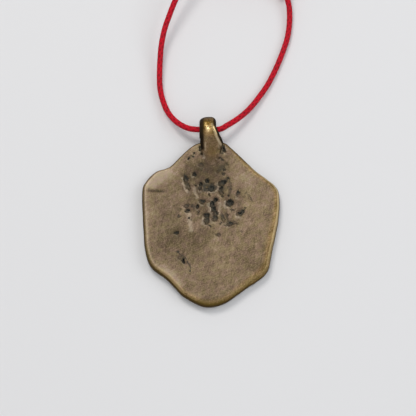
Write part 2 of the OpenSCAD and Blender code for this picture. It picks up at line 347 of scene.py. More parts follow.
castPlate = {
    "outline": [
        (-0.18, 0.99), (-0.31, 0.93), (-0.45, 0.82), (-0.58, 0.71), (-0.67, 0.67), (-0.81, 0.63),
        (-0.95, 0.51), (-1.0, 0.36), (-0.97, -0.14), (-0.94, -0.35), (-0.86, -0.52), (-0.64, -0.665),
        (-0.525, -0.76), (-0.385, -0.875), (-0.1, -0.99), (0.15, -0.965), (0.38, -0.85), (0.515, -0.765),
        (0.64, -0.7), (0.81, -0.57), (0.88, -0.33), (0.98, 0.07), (0.99, 0.34), (0.94, 0.45),
        (0.825, 0.535), (0.665, 0.635), (0.55, 0.725), (0.41, 0.84), (0.285, 0.94), (0.19, 0.995),
        (0.02, 1.0),
    ],  # shares of half its width and half its length, as in the solid
    "middle": (0, 0.1),  # shares of the same
    "curveSteps": 24,
    "sectors": 560, "backRings": 132, "edgeRings": 14, "frontRings": 30,
    "tipRound": 0.9, "tipSlope": 0.8, "rimW": 2.0,
    "dish": 0.55,
    "dishFade": (0.45, 0.55),  # where on the way to the rim it starts to rise, and over how much
    "swell": 0.16,  # slow waves of the back
    "skin": 0.05,  # lumps of the cast skin
    "edgeWobble": 0.08,
    "calm": (0.6, 0.85, 0.2),  # how much calmer the skin is near the rim, from where and over how much
    # layers of lumps: weight, size in mm, seed
    "wobbles": [(0.7, 2.4, 11), (0.3, 0.9, 12)],
    "waves": [(0.65, 7.5, 21), (0.35, 3.1, 22)],
    "lumps": [(0.6, 1.1, 23), (0.4, 0.45, 24)],
    # round the edge from the right, in degrees: how far in it is rounded, how far in it is golden and how
    # strongly, how wide and how dark the painted shade line at the edge is, how bright the lip is with wear
    # and a painted highlight, and how far in
    "edges": [
        (0, 0.9, 1.7, 0.9, 0.04, 0.5, 0.7, 0.4), (30, 0.9, 1.1, 1.0, 0.02, 0.5, 0.85, 0.4),
        (45, 0.9, 1.2, 1.0, 0.05, 0.5, 0.5, 0.4), (60, 0.9, 1.1, 0.9, 0.25, 0.6, 0, 0.5),
        (90, 0.9, 0.3, 0.6, 0.3, 0.65, 0, 0.5), (115, 0.7, 0.2, 0.9, 0.26, 0.65, 0.1, 0.8),
        (145, 0.9, 0.1, 0.9, 0.22, 0.65, 0.22, 0.9), (185, 0.9, 0.1, 0.9, 0.22, 0.65, 0.18, 0.8),
        (215, 0.9, 0.5, 0.9, 0.22, 0.7, 0.2, 0.9), (240, 1.1, 0.9, 1.0, 0.22, 0.75, 0.1, 0.9),
        (262, 1.3, 1.3, 1.0, 0.2, 0.75, 0.05, 0.9), (285, 1.3, 1.4, 1.0, 0.1, 0.75, 0.1, 0.9),
        (310, 1.3, 2.2, 0.9, 0, 0.65, 0.1, 0.7), (335, 1.1, 2.2, 0.9, 0, 0.5, 0.5, 0.5),
    ],
    "goldFade": (0.2, 0.5),  # mm in from the edge where the gold starts to fade, and over how much more
    "lineFade": 0.25,
    # down the edge, by the share of its height: where painted shade turns it dark, over how much, how dark,
    # how brown
    "lowEdge": (0.55, 0.3, 0.6, 2.2),
    "underEdge": (0.35, 0.3, 0.55),  # the same painted shade for the part turned to the table
    "frontRimW": 2.8, "frontDepth": 0.7, "frontFade": (0.85, 0.15), "frontLumps": [(1, 0.8, 41)],
    "petals": 8, "rosetteR": 9, "bossR": 2.6,
    "rosette": (0.6, 0.2, 0.7, 0.7),  # shares: flat top of the boss, cut and ridge of a petal, rise
    "frontLook": (0.75, 0.5, 0.4),  # how dark the field is, how worn what stands up, and how golden
}

footLand = {"x": 0.05, "halfW": 3.0, "y": 14.1, "fade": 2.8}  # level land under the foot of the loop

# Marks of the casting, with painted shade and painted highlights among them, placed by the pixel of the
# photograph where each is seen
castMarks = {
    # x, y, half length, half width, turn in degrees, depth in mm, darkness of its patina and painted shade
    "pits": [
        (186.2, 179.6, 5, 3, 102, 0.5, 0.7), (188.3, 186.4, 4.6, 2.4, 110, 0.35, 0.45),
        (195.1, 174.5, 2.6, 2.3, 0, 0.5, 0.9), (206.9, 180.1, 2.5, 2.2, 0, 0.5, 0.9),
        (200.9, 183.7, 2.3, 2.2, 0, 0.5, 0.95), (201, 188, 2.8, 2, 90, 0.35, 0.6),
        (195.3, 185.1, 1.8, 1.2, 90, 0.25, 0.55), (211.5, 187.2, 4.8, 3.5, -12, 0.32, 0.9),
        (207.8, 189, 3.2, 2.2, -25, 0.35, 0.85), (226.6, 178.2, 2.9, 1.5, 40, 0.35, 0.8),
        (212.2, 183.6, 1.6, 1.2, 0, 0.25, 0.6), (209, 194.6, 2.4, 1.1, 95, 0.25, 0.5),
        (222.8, 182, 4.8, 2.9, 28, 0.5, 0.85), (220.8, 187, 2.4, 2.1, 10, 0.55, 0.95),
        (221, 192.2, 3.2, 2.6, 90, 0.3, 0.5), (222.6, 195.4, 1.6, 1.3, 0, 0.3, 0.55),
        (224.5, 168.8, 1.7, 1.5, 0, 0.25, 0.6), (223.4, 173.4, 1.7, 1.5, 0, 0.25, 0.6),
        (218.8, 171.6, 2.8, 2.2, 0, 0.15, 0.35), (227.1, 165.3, 1.9, 1, 60, 0.2, 0.5),
        (228.8, 195.6, 1.3, 1.2, 0, 0.3, 0.65), (237.8, 192.7, 3.7, 1.9, 85, 0.25, 0.72),
        (229.4, 202.8, 4.6, 4, 20, 0.6, 0.85), (230.8, 201, 3.2, 2, -30, 0.35, 1),
        (233.1, 209.6, 2.7, 1.3, 0, 0.2, 0.6), (241, 212.5, 4.6, 3.1, 48, 0.35, 0.8),
        (239.5, 213, 2.6, 1.9, 65, 0.35, 1.25), (215.1, 199.4, 2.9, 2.3, 20, 0.5, 1),
        (211.8, 203.4, 3.4, 3.1, 60, 0.5, 1), (213.6, 208.2, 3.6, 3.2, 115, 0.5, 0.85),
        (216.2, 212.8, 3.4, 3, 100, 0.5, 0.65), (214.9, 217.6, 3.8, 2.9, 65, 0.45, 0.65),
        (207.2, 214.2, 3.1, 3, 90, 0.45, 0.95), (206.7, 219.5, 4, 3.6, 90, 0.4, 0.65),
        (209, 224.8, 2.4, 0.7, -15, 0.2, 0.85), (202.7, 201.4, 2.9, 2.6, 0, 0.35, 0.7),
        (186.6, 205.5, 2.9, 2.5, 0, 0.3, 0.5), (187.8, 210.2, 2.3, 2.2, 0, 0.45, 0.9),
        (191.7, 205.3, 1.1, 1, 0, 0.2, 0.6), (197.4, 206.4, 2.1, 1.7, 90, 0.4, 0.8),
        (198.6, 211.8, 2.5, 1, 95, 0.25, 0.7), (189.7, 218.2, 1.2, 1, 0, 0.35, 1.25),
        (191.5, 220.4, 0.7, 0.6, 0, 0.15, 0.6), (179.2, 215.6, 1.7, 1.5, 0, 0.2, 0.5),
        (180, 209, 1.6, 1.4, 0, 0.12, 0.3), (176.9, 232.4, 2.4, 2.4, 0, 0.45, 0.85),
        (222.9, 218.3, 5.2, 2, 98, 0.25, 0.5), (227.2, 216.6, 4.6, 1, 98, 0.25, 0.6),
        (220.2, 222.4, 1.4, 1.1, 0, 0.2, 0.6), (230.2, 223, 3.4, 2.5, 15, 0.35, 0.75),
        (236.4, 223.9, 3.4, 0.6, -8, 0.15, 0.6), (226, 225.2, 4, 0.8, 8, 0.18, 0.5),
        (218.8, 234.3, 3.3, 1.9, 0, 0.18, 0.45), (215.7, 161.6, 1.7, 1.5, 0, 0.3, 0.95),
        (219.2, 158.6, 2.2, 1.3, 10, 0.25, 0.8), (222.3, 159.6, 1.5, 1.3, 0, 0.25, 0.75),
        (222.3, 153.9, 1.1, 1, 0, 0.2, 0.6), (201.3, 164.5, 2.7, 2.4, 0, 0.2, 0.45),
        (188.9, 158.9, 1.6, 1.3, 60, 0.3, 1.1), (192.6, 156.6, 1.3, 1, 90, 0.25, 1),
        (194.2, 154.3, 1.4, 1.1, 60, 0.25, 1), (202, 155, 1.7, 1.2, 90, 0.3, 1),
        (200.6, 148.8, 2.4, 1.7, 80, 0.4, 0.95), (207.6, 171.5, 0.9, 0.8, 0, 0.15, 0.55),
        (246.4, 168.5, 1.1, 1, 0, 0.12, 0.3), (245.4, 194, 1.6, 0.6, 40, 0.12, 0.4),
        (223.5, 149.6, 3.7, 1.9, 105, 0.45, 1), (183.7, 260.8, 2.6, 1.6, 105, 0.6, 1.25),
        (180.4, 257.8, 3.2, 2.4, -20, 0.18, 0.4), (241.9, 231.2, 0.9, 0.8, 0, 0.1, 0.35),
        (166.5, 196.5, 1, 0.9, 0, 0.08, 0.25),
    ],
    # points of each line, half width, depth in mm, darkness of the crack with painted shade along it
    "cracks": [
        ([(176, 251), (180, 253), (183, 255.7), (185, 257.5), (187, 259)], 0.6, 0.1, 0.7),
        ([(187.7, 261.5), (190.2, 265.2), (191.2, 268.4), (190, 271), (188.3, 271.4)], 0.65, 0.12, 0.65),
        ([(148.5, 190.2), (153, 191), (158, 190.8), (165, 192.2)], 1, 0.15, 0.27),
        ([(243, 210.2), (246.5, 207.2)], 0.9, 0.18, 0.4),
        ([(229, 196), (229.5, 190), (230.5, 183), (229.5, 178)], 1, 0.1, 0.38),
        ([(246.5, 192.4), (248.5, 194.4), (251, 197.5), (252, 201)], 0.6, 0.08, 0.5),
        ([(204.5, 147), (204.2, 152)], 0.7, 0.15, 0.6),
    ],
    # worn bright lips and painted highlights, as lines: points, half width, brightness
    "lipsAndGlints": [
        ([(182, 178), (182.9, 184), (185, 189), (187.6, 192)], 0.85, 0.4),
        ([(207.5, 192.6), (212, 192.4), (215.5, 191), (218.5, 188.8)], 0.8, 0.36),
        ([(208.6, 203), (209.6, 206.5), (210.6, 209.5)], 0.8, 0.5),
        ([(202.6, 216.5), (202.7, 220), (204, 223.5)], 0.9, 0.34),
        ([(224.8, 201), (225, 205), (227.2, 207.6)], 0.8, 0.42),
        ([(188.6, 213), (189.6, 218), (190.1, 224), (190.3, 230)], 2.3, 0.27),
        ([(236.8, 215.5), (238.6, 217.4)], 0.9, 0.4),
        ([(187, 294.3), (190.5, 296.8), (194.5, 299.2)], 0.8, 0.5),
        ([(219.8, 203), (220, 209), (218.6, 215)], 1.5, 0.22),
        ([(204.7, 150.5), (204.1, 154.5), (203.8, 159)], 1, 0.32),
        ([(224.8, 147), (226.2, 150.5)], 0.8, 0.35), ([(194.5, 188), (195.5, 193), (197, 197.5)], 1.6, 0.24),
    ],
    # broad patches of tone, some of them painted highlight and painted shade: x, y, half width, half height,
    # lighter above 0 and darker below
    "tonesAndPaintedLight": [
        (152, 185, 6, 4, 1.4), (160, 179, 6, 5, 1.5), (168, 174, 6, 4, 1.1), (155, 191.3, 9, 1.3, -1.3),
        (146, 220, 5, 36, 0.3), (250, 258, 24, 24, -0.45), (165, 269, 6, 5, 0.7), (171, 276, 6, 6, 1.1),
        (178, 285, 6, 5, 1), (176, 172, 12, 7, 0.2), (226, 246, 20, 10, 0.15), (220, 206, 6, 16, 0.2),
        (245, 177, 13, 11, 0.4), (166, 214, 15, 28, -0.14), (192, 239, 24, 14, -0.55),
        (192, 170, 12, 10, -0.3), (211, 170, 17, 14, -0.85), (211, 198, 26, 22, -0.42),
        (211, 155, 9, 7, -0.3), (181, 262, 14, 9, -0.15), (198, 200, 12, 18, -0.3), (207, 283, 20, 12, -0.3),
        (205, 258, 12, 10, -0.15), (258, 220, 14, 20, -0.1), (168, 248, 14, 14, -0.38),
        (204, 303, 34, 4, -1),
    ],
    # dark scale that gathers round the pits: x, y, half width, half height, turn in degrees, strength
    "stains": [
        (209, 187, 18, 7.5, 5, 0.9), (222.5, 169, 8.5, 6.5, 25, 0.65), (217.5, 161, 8, 5, 10, 0.6),
        (193, 206.5, 9, 6, 0, 0.55), (214, 208, 8, 15, -8, 0.5), (230, 221.5, 13, 6, -8, 0.5),
        (208, 218, 8, 9, 0, 0.5), (187, 185, 5.5, 11, 15, 0.5), (203, 152, 4.5, 8, 0, 0.6),
        (223, 151, 4, 7, -15, 0.5), (181.5, 259.5, 8, 6, 20, 0.4), (229.5, 190, 6, 13, 0, 0.45),
        (195, 175, 8, 6, 0, 0.4), (238, 203, 8, 12, -35, 0.35), (217.5, 234, 6, 4, 0, 0.45),
        (193, 157, 8, 3.5, 45, 0.35), (178, 211, 5, 9, 0, 0.35), (205, 169, 11, 8, 0, 0.45),
        (222, 188, 7, 8, 0, 0.6), (226, 213, 5, 9, -15, 0.35), (200, 229, 9, 5, 0, 0.3),
    ],
    # lumps by which the edge of a pit wanders, across and down: pixels, size in mm, seed
    "ragged": ([(0.8, 0.3, 31), (0.9, 0.8, 33)], [(0.8, 0.3, 32), (0.9, 0.8, 34)]),
    "patches": [(0.6, 0.7, 36), (0.5, 0.32, 37)],  # lumps of the dark scale: weight, size in mm, seed
    "scale": (0.7, 0.6, 0.12, 2.2),  # its cover, darkness, depth in mm, and how many halos browner it is
    "halo": 0.36,  # how much browner the skin is round a pit
    "lipRise": 0.06,
    "seenDepth": 0.4,  # mm under the top of the rim where the pixels are taken to lie
    "darkGrain": (0.82, 0.22, 0.35, 35),  # least of the darkness, how much it varies, size in mm, seed
    # across a mark, from 0 in its middle to 1 at its edge: from where and over how much a part fades
    "pitHollow": (0.25, 0.95), "pitDark": (0.52, 0.66), "pitHalo": (0.9, 1.5),
    "crackHollow": (0.2, 0.9), "crackDark": (0.4, 0.8),
    "lipFade": (0.2, 1.3), "stainFade": (0, 1.15),
    # how the painted shade in a pit falls: slant of the light, how dark it is, how much less where lit, and
    # how soon
    "pitLight": (0.7, 1.05, 0.58, 1.3),
    "pitGlint": (0.32, 1.35, 0.3, 1.4, 0.3),  # how bright a painted highlight on its lower left lip is, where, how wide and how far
}

outline = curveThrough(castPlate["outline"], castPlate["curveSteps"], closed=True)
outline = (outline - outline.min(0)) / (outline.max(0) - outline.min(0)) - 0.5
outline = outline * (plateW, plateL) + (0, plateY)
middle = np.array(castPlate["middle"]) * (plateW / 2, plateL / 2) + (0, plateY)


def polar(x, y):
    # angle and distance from the middle of the plate
    return np.arctan2(y - middle[1], x - middle[0]), np.hypot(x - middle[0], y - middle[1])


outAngle, outReach = polar(*outline.T)
order = np.argsort(outAngle)
outAngle, outReach = outAngle[order], outReach[order]


def reachOf(angle):
    # how far the edge is from the middle, a little ragged as a casting is
    reach = np.interp(angle, outAngle, outReach, period=2 * np.pi)
    x, y = reach * np.cos(angle), reach * np.sin(angle)
    wander = lumps(x, y, 0 * x, castPlate["wobbles"])
    return reach - castPlate["edgeWobble"] * (1 + wander) / 2


def nearestOn(px, py, ax, ay, bx, by):
    # the share of the way from a to b that is nearest, and the distance to it
    along = ((px - ax) * (bx - ax) + (py - ay) * (by - ay)) / ((bx - ax) ** 2 + (by - ay) ** 2)
    t = np.clip(along, 0, 1)
    return t, np.hypot(px - ax - t * (bx - ax), py - ay - t * (by - ay))


def lineDistance(px, py, points):
    best = np.full(np.shape(px), 1e9)
    for a, b in zip(points[:-1], points[1:]):
        best = np.minimum(best, nearestOn(px, py, *a, *b)[1])
    return best


def ellipseDistance(px, py, cx, cy, halfL, halfW, turn):
    # 0 in the middle of a turned ellipse and 1 on its edge
    c, s = math.cos(math.radians(turn)), math.sin(math.radians(turn))
    along = (px - cx) * c - (py - cy) * s
    across = (px - cx) * s + (py - cy) * c
    return np.hypot(along / halfL, across / halfW)


def wearAndGlintLines(px, py, lines):
    bright = 0 * px
    for points, halfW, brightness in lines:
        far = lineDistance(px, py, points) / halfW
        bright = np.maximum(bright, brightness * fade(far, *castMarks["lipFade"]))
    return bright


def toneOf(px, py, patches):
    tone = 0 * px
    for cx, cy, halfW, halfH, amount in patches:
        tone = tone + amount * np.exp(-(((px - cx) / halfW) ** 2) - ((py - cy) / halfH) ** 2)
    return tone


def backOf(x, y):
    # height of the back, how dark it is with patina and painted shade, how bright with wear and painted
    # highlight, and its tone
    look = castMarks
    angle, away = polar(x, y)
    reach = reachOf(angle)
    share = away / (reach - castPlate["rimW"])
    side = np.maximum(0, np.abs(x - footLand["x"]) - footLand["halfW"])
    below = np.maximum(0, footLand["y"] - y)
    land = fade(np.hypot(side, below), 0, footLand["fade"])
    dish = castPlate["dish"] * fade(share, *castPlate["dishFade"])
    flat = 0 * x
    wave = (1 + lumps(x, y, flat, castPlate["waves"])) / 2
    lump = (1 + lumps(x, y, flat, castPlate["lumps"])) / 2
    calm, calmFrom, calmOver = castPlate["calm"]
    quiet = 1 - calm * smooth((share - calmFrom) / calmOver)
    z = plateT - (1 - land) * (dish + castPlate["swell"] * wave * quiet)
    z = z - castPlate["skin"] * lump * quiet
    px, py = seenAt(x, y, plateT - look["seenDepth"])
    wx, wy = (at + lumps(x, y, flat, layers) for at, layers in zip((px, py), look["ragged"]))
    hollow, dark, halo, bright, stain = (0 * x for _ in range(5))
    slant, wall, lit, spread = look["pitLight"]
    wearAndGlint, lipAt, lipW, lipTurn, lipFrom = look["pitGlint"]
    cover, scaleDark, scaleDepth, scaleHalos = look["scale"]
    for cx, cy, halfL, halfW, turn, depth, darkness in look["pits"]:
        far = ellipseDistance(wx, wy, cx, cy, halfL, halfW, turn)
        hollow = np.maximum(hollow, depth * fade(far, *look["pitHollow"]))
        lowerLeft = ((wy - cy) - slant * (wx - cx)) / (halfL + halfW)  # where the light gets in
        # the pit's dark patina with painted shade on it: darkest on the upper right wall, lighter on the lit
        # lower left
        shade = darkness * (wall - lit * smooth(spread * lowerLeft + 0.5))
        dark = np.maximum(dark, shade * fade(far, *look["pitDark"]))
        # a painted highlight on the lit lower left lip
        lip = wearAndGlint * darkness * min(1, halfW / 2) * smooth(lowerLeft * lipTurn - lipFrom)
        bright = np.maximum(bright, lip * np.exp(-(((far - lipAt) / lipW) ** 2)))
        halo = np.maximum(halo, darkness * fade(far, *look["pitHalo"]))
    for points, halfW, depth, darkness in look["cracks"]:
        far = lineDistance(wx, wy, points) / halfW
        hollow = np.maximum(hollow, depth * fade(far, *look["crackHollow"]))
        # dark of the crack with painted shade along it
        dark = np.maximum(dark, darkness * fade(far, *look["crackDark"]))
    for *ellipse, amount in look["stains"]:
        far = ellipseDistance(wx, wy, *ellipse)
        stain = np.maximum(stain, amount * fade(far, *look["stainFade"]))
    stain = stain * smooth(cover + lumps(x, y, flat, look["patches"]))
    # worn lips with painted highlights
    bright = np.maximum(bright, wearAndGlintLines(wx, wy, look["lipsAndGlints"]))
    # tone with painted highlight and painted shade in it
    tone = toneOf(px, py, look["tonesAndPaintedLight"])
    z = z - hollow + look["lipRise"] * bright * (1 - dark)
    least, *varied = look["darkGrain"]
    dark = np.maximum(dark * (least + lumps(x, y, flat, [varied])), scaleDark * stain)
    tone = tone - look["halo"] * (halo + scaleHalos * stain)
    return z - scaleDepth * stain, dark, bright * (1 - dark), tone


def frontOf(x, y):
    # the face that lies on the table: a sunk field with a rosette of petals round a boss
    angle, away = polar(x, y)
    share = away / (reachOf(angle) - castPlate["frontRimW"])
    petal = (1 + np.cos(castPlate["petals"] * angle)) / 2
    bossR, slope = castPlate["bossR"], castPlate["bossR"] / 2
    flatTop, cut, ridge, rise = castPlate["rosette"]
    tip = castPlate["rosetteR"] * (1 - cut + cut * petal)
    leaf = smooth((tip - away) / slope) * smooth((away - bossR) / slope)
    rosette = np.maximum(fade(away, bossR * flatTop, slope), leaf * (1 - ridge + ridge * np.sqrt(petal)))
    field = fade(share, *castPlate["frontFade"])
    lump = (1 + lumps(x, y, 0 * x, castPlate["frontLumps"])) / 2
    sunk = castPlate["frontDepth"] * field * (1 - rise * rosette)
    return sunk + castPlate["skin"] * lump * field, field * (1 - rosette)


def makePlate():
    n = castPlate["sectors"]
    angle = 2 * np.pi * np.arange(n) / n
    reach = reachOf(angle)
    turns, *columns = np.array(castPlate["edges"]).T
    rounding, gold, strength, darkLine, darkness, lip, lipAt = (
        np.interp(np.degrees(angle), turns, column, period=360) for column in columns
    )
    inner = reach - rounding
    rows = []
    looks = {"sootAndShade": [], "wearAndGlint": [], "gilt": [], "tone": []}

    def around(away):
        return middle[0] + away * np.cos(angle), middle[1] + away * np.sin(angle)

    def edgeLooks(edge):
        # the lip with its wear and painted highlight, the golden wear and the painted shade line at so many
        # mm in from the edge
        goldFrom, goldOver = castPlate["goldFade"]
        lipHere = lip * np.exp(-((2 * edge / lipAt - 2) ** 2))
        giltHere = strength * fade(edge, goldFrom, gold + goldOver)
        return lipHere, giltHere, fade(edge, darkLine, castPlate["lineFade"])

    def addRing(away, z, *values):
        rows.append(np.column_stack([*around(away), z]))
        for rings, value in zip(looks.values(), values):
            rings.append(np.broadcast_to(value, (n,)))

    for j in range(1, castPlate["backRings"] + 1):
        away = inner * j / castPlate["backRings"]
        z, dark, bright, tone = backOf(*around(away))
        lipHere, gilt, line = edgeLooks(reach - away)
        # the painted shade line at the edge
        dark = np.maximum(dark, darkness * line)
        addRing(away, z, dark, np.maximum(bright, lipHere), gilt, tone)
    drop = plateT - z
    lowAt, lowOver, lowDark, lowTone = castPlate["lowEdge"]
    underAt, underOver, underDark = castPlate["underEdge"]
    for k in range(1, castPlate["edgeRings"]):
        turn = math.pi / 2 - math.pi * k / castPlate["edgeRings"]
        away = reach - rounding * (1 - math.cos(turn))
        height = (1 + math.sin(turn)) / 2
        lipHere, gilt, line = edgeLooks(reach - away)
        # painted shade down the side of the edge and under it
        low = np.maximum(line, float(smooth((lowAt - height) / lowOver)))
        under = underDark * float(smooth((underAt - height) / underOver))
        edgeDark = np.maximum.reduce([dark * height, lowDark * darkness * low, under + 0 * low])
        edgeTone = tone * height - lowTone * low
        addRing(away, (plateT - drop) * height, edgeDark, lipHere * (1 - low), gilt, edgeTone)
    frontDark, frontWorn, frontGilt = castPlate["frontLook"]
    for j in range(castPlate["frontRings"], 0, -1):
        away = inner * j / castPlate["frontRings"]
        z, hollow = frontOf(*around(away))
        addRing(away, z, frontDark * hollow, frontWorn * (1 - hollow), frontGilt, 0)
    top, base = ([*middle, faceOf(*middle[:, None])[0][0]] for faceOf in (backOf, frontOf))
    points = np.vstack([top, *rows, base])
    faces = [(0, 1 + i, 1 + (i + 1) % n) for i in range(n)] + ringFaces(len(rows), n, 1)
    last = 1 + (len(rows) - 1) * n
    faces += [(last + (i + 1) % n, last + i, len(points) - 1) for i in range(n)]
    marks = {}
    for key, rings in looks.items():
        marks[key] = np.concatenate([[rings[0].mean()], *rings, [rings[-1].mean()]])
    return meshPiece("amulet_casting", points, faces, marks)


plate = makePlate()
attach(plate, "pendant")
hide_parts("amulet_plate")
print("plate cast with", len(plate.data.vertices), "points")

# The strap loop: a ring round the eye and a leg that spreads into the back of the plate
castBail = {
    "cell": 0.1,  # mm between the points that its skin is taken from
    "eyeR": 1.7,
    "lean": (0.05, 1, 2),  # how far the crown leans to the right, from how far under the eye, and over
    "dome": (2.1, 1.4, 1.4),  # how far in the outer face is domed, left and right, and how far it falls
    "round": 0.25,
    # the leg from crown to foot: y, z, half thickness, left edge and right edge
    "leg": [
        (21.0, 5.9, 0.75, -2.94, 1.7), (19.6, 5.2, 0.76, -2.95, 2.35), (18.6, 4.4, 0.78, -2.95, 3.0),
        (17.5, 3.65, 0.74, -2.95, 3.3), (16.2, 2.95, 0.66, -2.7, 2.65), (14.8, 2.4, 0.52, -2.3, 2.4),
        (13.0, 1.95, 0.4, -2.0, 2.4),
    ],
    "legSteps": 8,
    "ringBlend": 0.5,
    "blends": (0.25, 1.1, 0.9, 1.3),  # into the plate: on the left, on the right, more at the foot, most
    "blendFrom": (-1.6, 18, 3),  # x and y from where that changes, and over how much
    "skin": 0.02,
    # painted shade and painted highlight of its own, as patches of tone like those on the back of the plate
    "tonesAndPaintedLight": [
        (204.6, 149, 1.6, 5, 0.8), (201, 124, 4, 6, -0.5), (207, 123, 6, 3.5, -0.8), (210, 140, 6, 8, -0.2),
        (211, 152, 8, 6, -0.9),
    ],
    "hide": 0.035,  # how far its skirt lies under the back of the plate, its underside three times as far
    "skirt": 1.4,  # how far from the loop its skirt ends
    "room": (1.3, 1.5, 0.3),  # mm round the loop where its skin may lie: left, right, and up and back
    "foot": (12.0, 0.1),  # y and z where that room begins
    "notch": (-0.55, 28, 0.35, 0.22, 0.12),  # x, degrees past the crown, half length, half width, depth
    "notchFade": (0.2, 1),
    "lumps": [(0.6, 0.9, 51), (0.4, 0.4, 52)],
    "near": 0.5,  # mm over the back of the plate within which it has the plate's marks
    # how a part turns dark with painted shade or golden, and where painted highlights may lie: from where it
    # starts, over how much, and the most of it
    "rises": {
        "left": (0.12, 0.4, 1), "leftFoot": (2.2, 0.5, 1), "leftCrown": (4.6, 1.6, 0.25),
        "right": (0.52, 0.3, 0.75), "beyond": (1.1, 0.9, 0.85), "back": (0.4, 0.4, 0.5),
        "under": (0.1, 0.5, 0.7), "eye": (-0.4, 0.35, 0.9), "up": (0, 0.5, 1), "gilt": (4.3, 2.2, 1),
    },
    "leftMost": 0.95, "legGilt": 0.36,
    "leftEnd": (147.5, 5), "rightEnd": (142, 3),  # the pixel row from which the painted shade on a flank fades, and over how many
    # how bright the painted reflection along the right edge is, and from where and over how much it fades
    "rightGlintBright": 0.7, "rightFade": (0.3, 1.5),
    "rightGlint": [(211.9, 124), (213.2, 127), (214.2, 130), (215.4, 133.2), (216.5, 136.2), (218.6, 140.6),
                 (220.8, 144.6)],  # the edge of the strap with a painted reflection along it, and painted shade on its flank to the right
    # painted highlights on the crown and the leg, as lines: points, half width, brightness
    "lipsAndGlints": [
        ([(205.4, 123), (206, 128), (207, 132)], 1.2, 0.15), ([(207.6, 127), (208.3, 130)], 1.7, 0.75),
        ([(205.4, 143), (205, 149.5)], 0.9, 0.36), ([(218.5, 145.5), (219, 148)], 0.9, 0.25),
    ],
}


def softMin(a, b, k):
    h = np.clip(0.5 + 0.5 * (b - a) / k, 0, 1)
    return b + (a - b) * h - k * h * (1 - h)


def roundedMax(u, v, r):
    u, v = u + r, v + r
    return np.minimum(np.maximum(u, v), 0) + np.hypot(np.maximum(u, 0), np.maximum(v, 0)) - r


def strapField(over, x, left, right):
    # a strap with a domed outer face, from how far a point is over its crest and the edges beside it
    leftDome, rightDome, drop = castBail["dome"]
    toLeft = np.clip(1 - (x - left) / leftDome, 0, 1)
    toRight = np.clip(1 - (right - x) / rightDome, 0, 1)
    fallen = drop * (2 - np.sqrt(1 - toLeft**2) - np.sqrt(1 - toRight**2))
    return roundedMax(over + fallen, np.maximum(left - x, x - right), castBail["round"])


def legLine(y, z):
    # how far a point of the middle plane is over the crest of the leg, and the edges of the leg there
    line = curveThrough(castBail["leg"], castBail["legSteps"])
    over, left, right = (np.full(np.shape(y), 1e9) for _ in range(3))
    for (ay, az, at, al, ar), (by, bz, bt, bl, br) in zip(line[:-1], line[1:]):
        t, off = nearestOn(y, z, ay, az, by, bz)
        far = off - at - t * (bt - at)
        nearer = far < over
        over = np.where(nearer, far, over)
        left = np.where(nearer, al + t * (bl - al), left)
        right = np.where(nearer, ar + t * (br - ar), right)
    return over, left, right


def bailField(x, y, z):
    # distance in mm to the skin of ring and leg, below zero inside
    far = np.hypot(y - eyeY, z - eyeZ)
    lean, under, over = castBail["lean"]
    off = x - bailX - lean * smooth((z - eyeZ + under) / over)
    ring = strapField(far - loopR, off, -strapW / 2, strapW / 2)
    over, left, right = legLine(y[0], z[0])
    leg = strapField(over[None], x, left[None], right[None])
    field = softMin(ring, leg, castBail["ringBlend"])
    field = np.maximum(field, castBail["eyeR"] - far)
    field = field + castBail["skin"] * (1 + lumps(x, y, z, castBail["lumps"])) / 2
    notchX, notchTurn, notchL, notchW, notchDepth = castBail["notch"]
    turn = math.radians(notchTurn)
    cut = np.sqrt(
        ((x - notchX) / notchW) ** 2
        + ((y - eyeY - loopR * math.sin(turn)) / notchL) ** 2
        + ((z - eyeZ - loopR * math.cos(turn)) / notchL) ** 2
    )
    return field + notchDepth * fade(cut, *castBail["notchFade"])


def plateField(x, y, z):
    # distance to the skin of the plate near the loop, from its outline and the height of its back
    fx, fy = x[:, :, 0], y[:, :, 0]
    angle, away = polar(fx, fy)
    outside = away - reachOf(angle)
    height = backOf(fx, fy)[0]
    outside = outside[..., None] * castPlate["tipSlope"]
    return roundedMax(outside, z - height[..., None], castPlate["tipRound"])


def skinOf(field, low, cell):
    # one point in each cell that the surface passes, and a face across each edge that it cuts
    inside = field < 0
    shape = np.array(field.shape) - 1
    total = np.zeros((*shape, 3))
    count = np.zeros(shape)
    for axis in range(3):
        a = np.moveaxis(field, axis, 0)
        first, second = a[:-1], a[1:]
        cuts = (first < 0) != (second < 0)
        share = np.where(cuts, first / np.where(cuts, first - second, 1), 0)
        one, two = [k for k in range(3) if k != axis]
        for p, q in np.ndindex(2, 2):
            edges = (slice(None), slice(p, p + share.shape[1] - 1), slice(q, q + share.shape[2] - 1))
            cut = np.moveaxis(cuts[edges], 0, axis)
            total[..., axis] += np.moveaxis(share[edges], 0, axis)
            total[..., one] += p * cut
            total[..., two] += q * cut
            count += cut
    used = count > 0
    index = np.full(shape, -1)
    index[used] = np.arange(used.sum())
    cells = np.argwhere(used)
    points = low + (cells + total[used] / count[used][:, None]) * cell
    faces = []
    for axis in range(3):
        one, two = [k for k in range(3) if k != axis]
        a = np.moveaxis(inside, axis, 0)
        for place in np.argwhere(a[:-1] != a[1:]):
            corner = np.zeros(3, int)
            corner[axis], corner[one], corner[two] = place
            if min(corner[one], corner[two]) < 1:
                continue
            ring = []
            for shift in ((1, 1), (0, 1), (0, 0), (1, 0)):
                at = corner.copy()
                at[[one, two]] -= shift
                ring.append(int(index[tuple(at)]))
            if bool(inside[tuple(corner)]) == (axis == 1):
                ring.reverse()
            faces.append(ring)
    return points, faces


